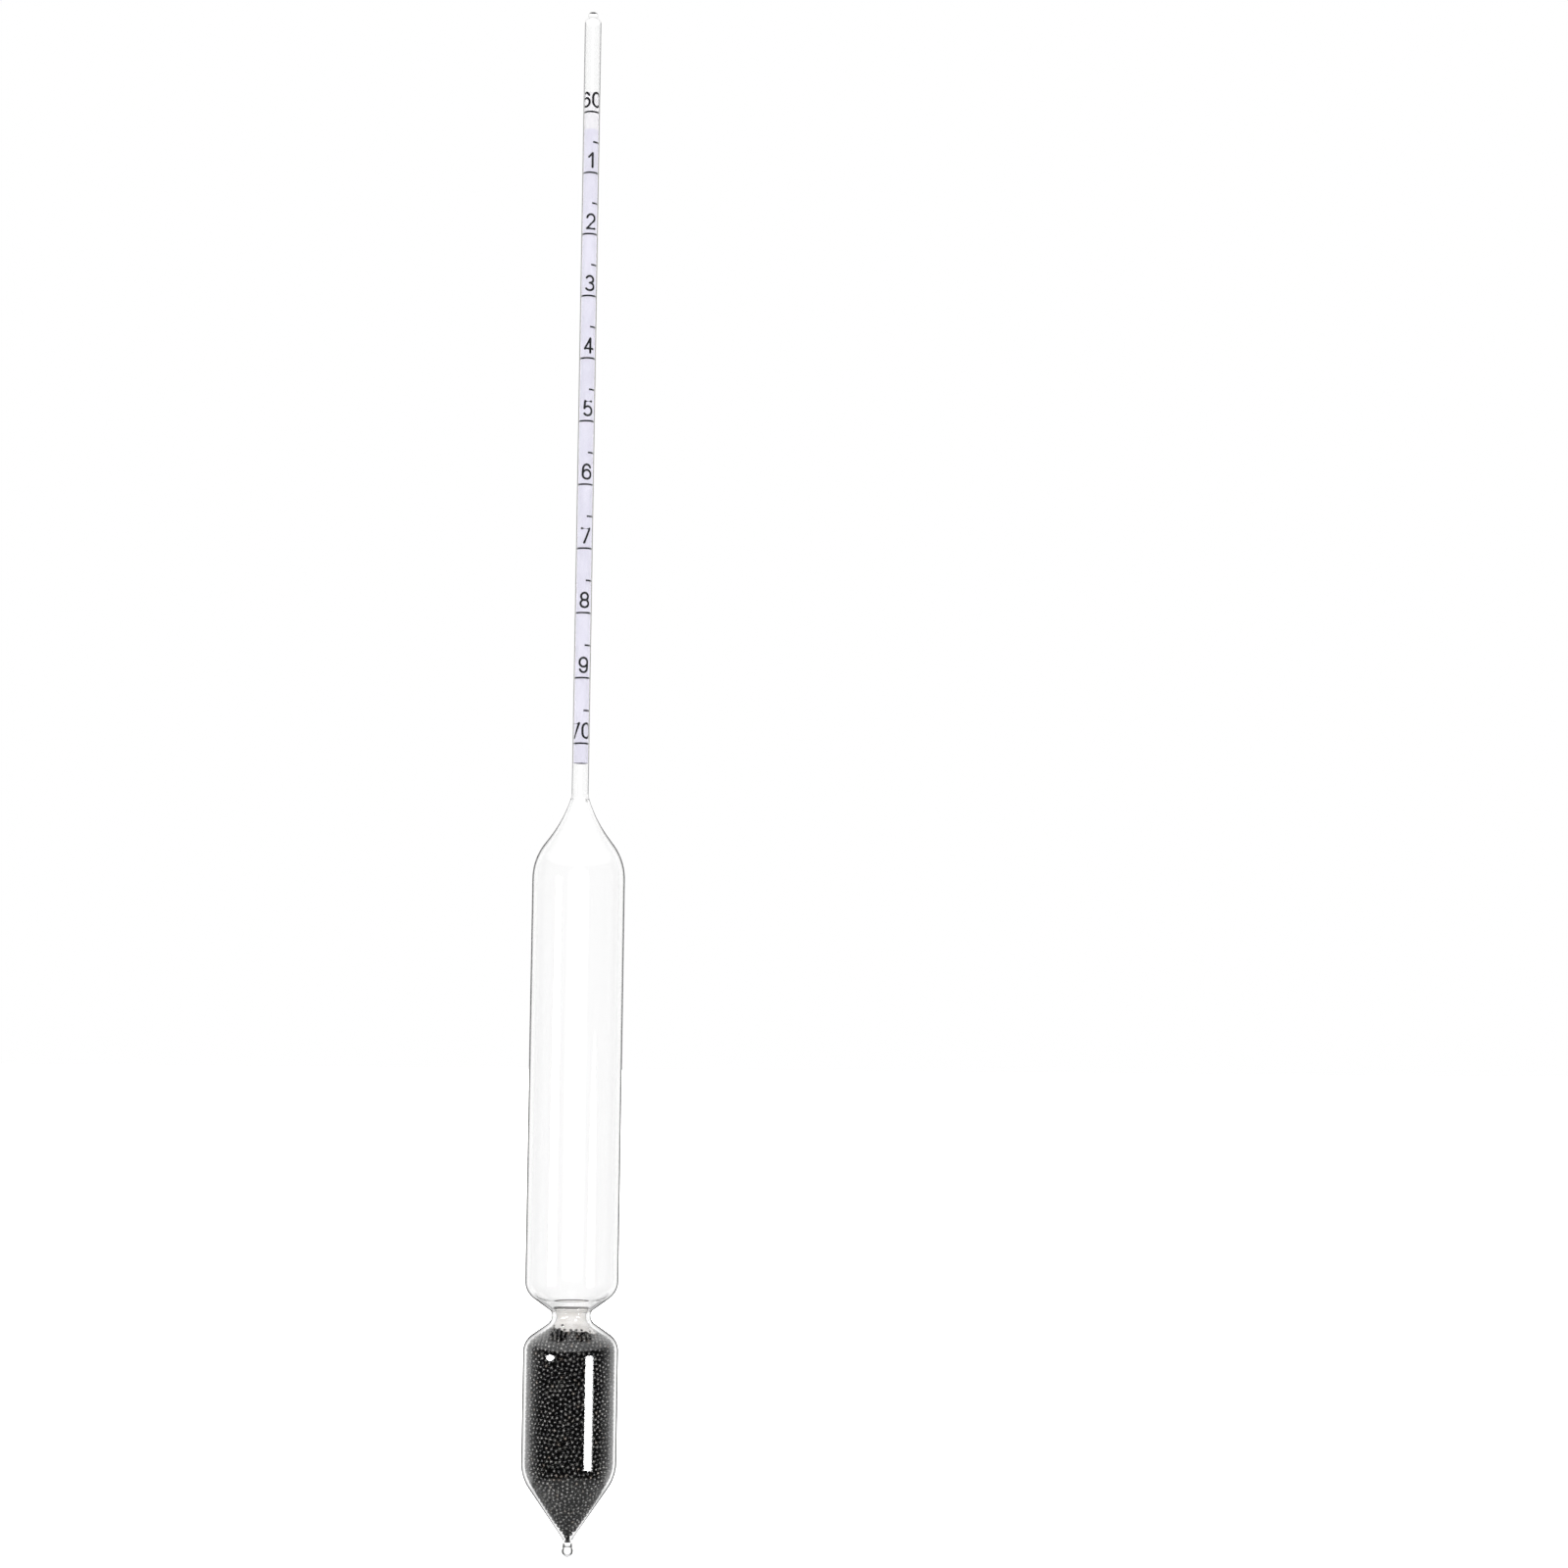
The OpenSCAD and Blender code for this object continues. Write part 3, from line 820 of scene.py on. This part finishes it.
def make_bubbles():
    """Air bubbles trapped against the glass in the resin, as flattened beads."""
    draws = np.random.default_rng(5)
    spots = [(-16, 0.1, 0.2), (16, -0.65, 0.27), (22, 0.1, 0.13)]
    spots += [(a, draws.uniform(-1.6, 0.7), draws.uniform(0.08, 0.2)) for a in draws.uniform(60, 300, 9)]
    points, faces = [], []
    for azimuth, above, size in spots:
        height = NECK_Z + above
        out, side = wall_directions(math.radians(azimuth))
        centre = out * (float(cavity_r(height)) - FILL_GAP) + [0, 0, height]
        ball, ball_faces = ball_mesh()
        across, deep, tall = ball[:, :1], ball[:, 1:2], ball[:, 2:]
        placed = across * side * size + deep * out * BUBBLE_DEPTH + tall * np.array([0, 0, 1]) * size
        faces.extend(tuple(i + len(points) for i in face[::-1]) for face in ball_faces)
        points.extend(centre + placed)
    make_piece("resin_bubbles", points, faces, BUBBLE_PAINTED_GLOW, ["resin_plug"])


# ---------------------------------------------------------------- weld
WELD_BUBBLE_TURN, WELD_BUBBLE_DROP = 84, 1.4
BUBBLE_HALF_WIDTH, BUBBLE_HALF_DEPTH, BUBBLE_HALF_HEIGHT = 0.4, 0.22, 0.34
FOLD_R = 0.09
FOLD_TURN, FOLD_SWING = -74, -10  # azimuth of its upper end, and how far it drifts on its way down
FOLD_DROP, FOLD_LEN = 0.1, 4.2
FOLD_SIDES, FOLD_RINGS = 8, 14


def make_weld_marks():
    """What welding the stem leaves on the inner wall: a small bubble, and a fold down the other side."""
    height = WELD_Z - WELD_BUBBLE_DROP
    out, side = wall_directions(math.radians(WELD_BUBBLE_TURN))
    ball, faces = ball_mesh()
    across, deep, tall = ball[:, :1], ball[:, 1:2], ball[:, 2:]
    centre = out * (float(cavity_r(height)) - BUBBLE_HALF_DEPTH) + [0, 0, height]
    spread = across * side * BUBBLE_HALF_WIDTH + deep * out * BUBBLE_HALF_DEPTH
    points = list(centre + spread + tall * [0, 0, BUBBLE_HALF_HEIGHT])
    faces = [face[::-1] for face in faces]
    sides, path = FOLD_SIDES, []
    for share in np.linspace(0, 1, FOLD_RINGS):
        turn = math.radians(FOLD_TURN + FOLD_SWING * share)
        path.append((turn, WELD_Z - FOLD_DROP - FOLD_LEN * share, FOLD_R * math.sqrt(1.02 - share)))
    base = len(points)
    for turn, height, size in path:
        out, side = wall_directions(turn)
        centre = out * (float(cavity_r(height)) - size) + [0, 0, height]
        for angle in np.arange(sides) * math.tau / sides:
            points.append(centre + size * (side * math.cos(angle) + out * math.sin(angle)))
    for i in range(len(path) - 1):
        for j in range(sides):
            a, b = base + i * sides + j, base + i * sides + (j + 1) % sides
            faces.append((a, b, b + sides, a + sides))
    faces.append(tuple(base + j for j in reversed(range(sides))))
    faces.append(tuple(base + (len(path) - 1) * sides + j for j in range(sides)))
    # The bubble and fold take the bead's glass skin and so its painted edge shade
    make_piece("weld_bubble_and_fold", points, faces, BEAD_SKIN, ["float_bulb"])


# ---------------------------------------------------------------- shot
BALL_R = 0.475
BALL_GAP = 0.03
BALL_LEVEL = 2
SMALLEST_BALL = 0.93
SECOND_LAYER = 0.82  # depth of the second layer under the first, in ball diameters
CORE_DEPTH = 3.4  # depth of the core, a solid in painted shade, inside the glass, in ball radii
ROW_STEP, BALL_STEP = 0.87, 1.04  # between rings of balls and between balls of a ring, in ball diameters
JITTER = 0.3
KEEP_APART = 1.03  # distance that two balls are pushed to, in ball diameters
PUSH = 0.42  # share of that push in one round
STRAY_TURN, STRAY_RISE = -28, 0.7  # the one ball that lies loose on the heap


def ball_mesh():
    """Points and faces of a unit sphere."""
    mesh = bpy.data.meshes.new("unit_ball")
    bm = bmesh.new()
    bmesh.ops.create_icosphere(bm, subdivisions=BALL_LEVEL, radius=1)
    bm.to_mesh(mesh)
    bm.free()
    points = np.array([tuple(v.co) for v in mesh.vertices])
    faces = [tuple(p.vertices) for p in mesh.polygons]
    bpy.data.meshes.remove(mesh)
    return points, faces


def layer_path(depth):
    """Radii and heights where ball centres lie, depth inside the glass, from the neck to the cone's tip."""
    rows = ballast_outline(BALLAST_WALL + depth, NECK_WALL + depth)[:, :2]
    last = rows[-1]
    length = last[0] / math.sin(math.radians(CONE_SLOPE))
    end = last - length * np.array([math.sin(math.radians(CONE_SLOPE)), math.cos(math.radians(CONE_SLOPE))])
    return np.vstack([rows, end])


def settle(depth, diameter, rounds, seed):
    """Ball centres spread over a layer: rings of balls, jittered at random and then pushed apart on the
    surface."""
    draws = np.random.default_rng(seed)
    path = layer_path(depth)
    steps = np.hypot(*np.diff(path, axis=0).T)
    reach_at = np.concatenate([[0], np.cumsum(steps)])
    start = np.interp(-(SHOT_TOP + 0.3), -path[:, 1], reach_at)
    end = np.interp(0.25, path[::-1, 0][:6], reach_at[::-1][:6])
    rows = max(2, round((end - start) / (ROW_STEP * diameter)))
    place = []
    for i in range(rows + 1):
        s = start + (end - start) * i / rows
        radius = np.interp(s, reach_at, path[:, 0])
        count = max(1, int(math.tau * radius / (BALL_STEP * diameter)))
        first = draws.uniform(0, math.tau)
        for j in range(count):
            shifted = s + draws.normal(0, JITTER)
            place.append((shifted, first + (j + draws.normal(0, JITTER)) * math.tau / count))
    s, turn = np.array(place).T

    def centres():
        radius = np.interp(s, reach_at, path[:, 0])
        x, y = around(radius, turn)
        return np.stack([x, y, np.interp(s, reach_at, path[:, 1])], axis=1), radius

    for _ in range(rounds):
        points, radius = centres()
        push = np.zeros_like(points)
        for first in range(0, len(points), 400):
            apart = points[first:first + 400, None, :] - points[None, :, :]
            gap = np.sqrt((apart ** 2).sum(axis=2))
            near = np.clip(KEEP_APART * diameter - gap, 0, None)
            near[gap < 1e-9] = 0
            away = apart / np.maximum(gap, 1e-9)[:, :, None]
            push[first:first + 400] = (away * near[:, :, None]).sum(axis=1)
        ahead = np.stack([np.interp(s + 0.05, reach_at, path[:, axis])
                          - np.interp(s - 0.05, reach_at, path[:, axis]) for axis in (0, 1)], axis=1)
        ahead /= np.linalg.norm(ahead, axis=1)[:, None]
        sx, sy = around(1.0, turn)
        down = np.stack([sx * ahead[:, 0], sy * ahead[:, 0], ahead[:, 1]], axis=1)
        side = np.stack([np.cos(turn), np.sin(turn), np.zeros_like(turn)], axis=1)
        s = np.clip(s + PUSH * (push * down).sum(axis=1), start, end)
        turn = turn + PUSH * (push * side).sum(axis=1) / np.maximum(radius, 0.4)
    return centres()[0]


def balls(centres, seed):
    """One mesh of balls, each turned and sized a little differently."""
    draws = np.random.default_rng(seed)
    unit, unit_faces = ball_mesh()
    sizes = BALL_R * draws.uniform(SMALLEST_BALL, 1.0, len(centres))
    points, faces = [], []
    for centre, size in zip(centres, sizes):
        axis = Vector(draws.normal(size=3)).normalized()
        turned = unit @ np.array(Matrix.Rotation(draws.uniform(0, math.tau), 3, axis)).T
        base = len(points)
        points.extend(centre + turned * size)
        faces.extend(tuple(i + base for i in face) for face in unit_faces)
    return points, faces


def make_shot():
    """The ballast: an outer layer of balls, a darker one under it and a core that closes the gaps; the
    second layer's darkness and the core are painted shade.
    """
    outer = settle(BALL_R + BALL_GAP, 2 * BALL_R, 30, 11)
    turn = np.arctan2(outer[:, 0], -outer[:, 1])
    outer = outer[outer[:, 2] < resin_foot(turn) + 0.25]
    loose_turn, loose_z = math.radians(STRAY_TURN), SHOT_TOP + STRAY_RISE
    loose_x, loose_y = around(float(cavity_r(loose_z)) - BALL_R - BALL_GAP, loose_turn)
    outer = np.vstack([outer, [[loose_x, loose_y, loose_z]]])
    points, faces = balls(outer, 21)
    make_piece("shot_outer_layer", points, faces, SHOT, ["ballast_shot"])
    second = settle(BALL_R + BALL_GAP + SECOND_LAYER * 2 * BALL_R, 2 * BALL_R, 12, 12)
    second = second[second[:, 2] < SHOT_TOP - 0.6]
    points, faces = balls(second, 22)
    make_piece("shot_second_layer", points, faces, SHOT_IN_PAINTED_SHADE, ["ballast_shot"])
    # The core: a dark solid that stands for the shot in shade
    core_rows = layer_path(BALL_R * CORE_DEPTH)
    core_rows = core_rows[core_rows[:, 1] < SHOT_TOP - 0.8]
    tip_r, tip_low = BORE_R - BALL_GAP, WAIST_Z + BORE_FLOOR + BALL_GAP
    tip_high = np.interp(tip_r, core_rows[::-1, 0], core_rows[::-1, 1])
    core_rows = core_rows[core_rows[:, 1] > tip_high]
    tip = [[tip_r, tip_high], [tip_r, tip_low], [0, tip_low]]
    core = np.vstack([[[0, core_rows[0, 1]]], core_rows, tip])
    core = np.hstack([core, np.tile([1.0, 0.0], (len(core), 1))])
    points, faces, _ = revolve(core, 64)
    make_piece("shot_core_painted_shade", points, faces, SHOT_IN_PAINTED_SHADE, ["ballast_shot"])


# ---------------------------------------------------------------- studio
FLOOR_HALF = 3.0
FLOOR_DROP = 0.02  # below the bead, in millimetres
PHOTO_DISTANCE = 514.4  # in front of the axis, in millimetres
PHOTO_HEIGHT = 109.2  # above the bead's bottom
PHOTO_YAW = 4.47
PHOTO_PITCH = 4.5
PHOTO_ROLL = 0.62


def make_camera():
    data = bpy.data.cameras.new("camera")
    data.lens = 60
    data.sensor_width = 36
    data.clip_start = 0.01
    data.clip_end = 20
    camera = bpy.data.objects.new("camera", data)
    scene.collection.objects.link(camera)
    turn = (
        Matrix.Rotation(math.radians(-PHOTO_YAW), 4, "Z")
        @ Matrix.Rotation(math.radians(90 + PHOTO_PITCH), 4, "X")
        @ Matrix.Rotation(math.radians(PHOTO_ROLL), 4, "Z")
    )
    camera.matrix_world = Matrix.Translation((0, -PHOTO_DISTANCE * MM, FOOT + PHOTO_HEIGHT * MM)) @ turn
    scene.camera = camera


def make_floor():
    """A pale floor under the tail. Glass and shot don't mirror it: their surroundings are the studio."""
    material, g = new_material("pale_floor")
    g.principled(Base_Color=(0.92, 0.92, 0.92, 1), Roughness=0.9,
                 Emission_Color=(1, 1, 1, 1), Emission_Strength=0.6)
    mesh = bpy.data.meshes.new("floor")
    corners = [(-1, -1), (1, -1), (1, 1), (-1, 1)]
    points = [(x * FLOOR_HALF, y * FLOOR_HALF, FOOT - FLOOR_DROP * MM) for x, y in corners]
    mesh.from_pydata(points, [], [(0, 1, 2, 3)])
    mesh.materials.append(material)
    floor = bpy.data.objects.new("floor", mesh)
    scene.collection.objects.link(floor)
    floor.visible_glossy = False
    floor.visible_transmission = False
    floor.visible_diffuse = False
    floor.visible_shadow = False


LAMP_STRENGTH = 26.0
STRIP_SIDE, STRIP_HALF = 47.5, 10.5  # azimuth of the long lamp's middle and half its width, in degrees
STRIP_TOP, STRIP_TOP_ROUND = -1.2, 6.7  # elevation of its upper end and how far the corners fall back
STRIP_LOW, STRIP_LOW_ROUND = -14.0, 3.5
SPOT_SIDE, SPOT_SIDE_HALF = -51.5, 10.5
SPOT_LOW, SPOT_LOW_ROUND, SPOT_TALL = -7.97, 0.05, 12.5
DARK = 0.03  # the studio's dark side
CLEAR_LEVEL = 1.15  # white that shows through the glass
# The ranges below are in degrees, and the light rises or falls over them. Overhead, underfoot, horizon and
# ring are elevations. Halo, backdrop and behind are azimuths away from straight behind.
OVERHEAD_FROM, OVERHEAD_TO = 24, 28
UNDERFOOT_FROM, UNDERFOOT_TO, UNDERFOOT_LEVEL = -28, -36, 0.28
HORIZON_FROM, HORIZON_TO = -36, -26
HALO_FROM, HALO_TO, HALO_SOFT = 34, 70, 3
BACKDROP_FROM, BACKDROP_TO = 62, 105
# What the shot mirrors. The front's range is of squared degrees away from straight ahead.
FRONT_FROM, FRONT_TO, FRONT_LEVEL = 300.0, 1000.0, 2.3
RING_FROM, RING_TO, RING_SOFT, RING_LEVEL = 30, 65, 8, 0.03
BEHIND_FROM, BEHIND_TO, BEHIND_LEVEL = 18, 30, 1.0
SHOT_DARK = 0.002
SOFT_LEVEL, SOFT_SLANT = 2.1, -0.15  # light on the matt pieces, and how much it falls off towards the back


def make_world():
    """A white studio. What a mirror-like ray finds depends on how it came: off the glass's skin, out of the
    glass wall, or off the shot inside. Rays that only pass through, and the camera's own, find white. This
    imitates one set of studio reflections and isn't how light behaves in a room."""
    world = bpy.data.worlds.new("studio")
    world.use_nodes = True
    scene.world = world
    world.cycles.sampling_method = "NONE"
    g = Graph(world.node_tree)
    direction = g.add("ShaderNodeTexCoord").outputs["Generated"]
    x, y, z = g.add("ShaderNodeSeparateXYZ", {"Vector": direction}).outputs
    away = g.math("DEGREES", g.math("ABSOLUTE", g.math("ARCTAN2", x, y)))
    side = g.math("DEGREES", g.math("ARCTAN2", x, g.math("MULTIPLY", y, -1.0)))
    up = g.math("DEGREES", g.math("ARCSINE", z))

    overhead = g.step(up, OVERHEAD_FROM, OVERHEAD_TO)
    underfoot = g.math("MULTIPLY", g.step(up, UNDERFOOT_FROM, UNDERFOOT_TO), UNDERFOOT_LEVEL)
    ends = g.math("MAXIMUM", overhead, underfoot)
    level = g.step(up, HORIZON_FROM, HORIZON_TO)
    halo = g.math("MULTIPLY", g.band(away, HALO_FROM, HALO_TO, HALO_SOFT), level)
    beyond = g.step(away, BACKDROP_FROM, BACKDROP_TO)
    backdrop = g.math("MULTIPLY", g.math("SUBTRACT", 1.0, beyond), level)

    across = g.math("DIVIDE", g.math("SUBTRACT", side, STRIP_SIDE), STRIP_HALF)
    bulge = g.math("MULTIPLY", across, across)
    left, right = STRIP_SIDE - STRIP_HALF, STRIP_SIDE + STRIP_HALF
    past_right = g.step(side, right - 6, right + 2)
    wide = g.math("MULTIPLY", g.step(side, left, left + 1.2), g.math("SUBTRACT", 1.0, past_right))
    top = g.math("MULTIPLY_ADD", bulge, -STRIP_TOP_ROUND, STRIP_TOP)
    foot = g.math("MULTIPLY_ADD", bulge, STRIP_LOW_ROUND, STRIP_LOW)
    tall = g.math("MULTIPLY", g.step(g.math("SUBTRACT", top, up), -0.3, 0.3),
                  g.step(g.math("SUBTRACT", up, foot), -0.3, 0.3))
    strip = g.math("MULTIPLY", wide, tall)
    spot_x = g.math("DIVIDE", g.math("SUBTRACT", side, SPOT_SIDE), SPOT_SIDE_HALF)
    spot_y = g.math("DIVIDE", g.math("SUBTRACT", up, SPOT_LOW), SPOT_TALL)
    spot_xx = g.math("MULTIPLY", spot_x, spot_x)
    spot_d = g.math("ADD", spot_xx, g.math("MULTIPLY", spot_y, spot_y))
    spot_foot = g.math("MULTIPLY_ADD", spot_xx, SPOT_LOW_ROUND, SPOT_LOW)
    spot = g.math("MULTIPLY", g.math("SUBTRACT", 1.0, g.step(spot_d, 0.85, 1.05)),
                  g.step(g.math("SUBTRACT", up, spot_foot), -0.01, 0.01))
    lamps = g.math("MULTIPLY", g.math("MAXIMUM", strip, spot), LAMP_STRENGTH)

    skin = g.math("ADD", g.mix(g.math("MAXIMUM", halo, ends), DARK, 1.0), lamps)
    wall = g.math("ADD", g.mix(g.math("MAXIMUM", backdrop, ends), DARK, 1.0), lamps)
    turned = g.math("SUBTRACT", 180.0, away)
    facing = g.math("ADD", g.math("MULTIPLY", turned, turned), g.math("MULTIPLY", up, up))
    front = g.math("SUBTRACT", 1.0, g.step(facing, FRONT_FROM, FRONT_TO))
    ring = g.math("MULTIPLY", g.band(up, RING_FROM, RING_TO, RING_SOFT), RING_LEVEL)
    behind = g.math("SUBTRACT", 1.0, g.step(away, BEHIND_FROM, BEHIND_TO))
    faint = g.math("ADD", ring, g.math("MULTIPLY_ADD", behind, BEHIND_LEVEL, SHOT_DARK))
    shot = g.math("ADD", g.math("MULTIPLY", front, FRONT_LEVEL), faint)
    soft = g.math("MULTIPLY_ADD", y, SOFT_SLANT, SOFT_LEVEL)

    path = g.add("ShaderNodeLightPath").outputs
    passed = path["Transmission Depth"]
    mirrored = g.mix(g.step(passed, 3.4, 3.6), g.mix(g.step(passed, 0.4, 0.6), skin, wall), shot)
    clear = g.mix(path["Is Camera Ray"], CLEAR_LEVEL, 1.0)
    light = g.mix(g.step(path["Glossy Depth"], 0.4, 0.6), clear, mirrored)
    light = g.mix(g.step(path["Diffuse Depth"], 0.4, 0.6), light, soft)
    background = g.add("ShaderNodeBackground", {"Color": (1, 1, 1, 1), "Strength": light})
    output = g.add("ShaderNodeOutputWorld")
    g.tree.links.new(background.outputs[0], output.inputs["Surface"])


def set_render():
    scene.view_settings.view_transform = "Standard"
    scene.cycles.max_bounces = 24
    scene.cycles.transmission_bounces = 24
    scene.cycles.glossy_bounces = 12
    scene.cycles.sample_clamp_indirect = 0


make_camera()
make_world()
make_floor()
set_render()
make_tip_seal()
make_stem()
make_float()
make_ballast()
make_bead()
make_paper()
make_print()
make_plug()
make_bubbles()
make_weld_marks()
make_shot()
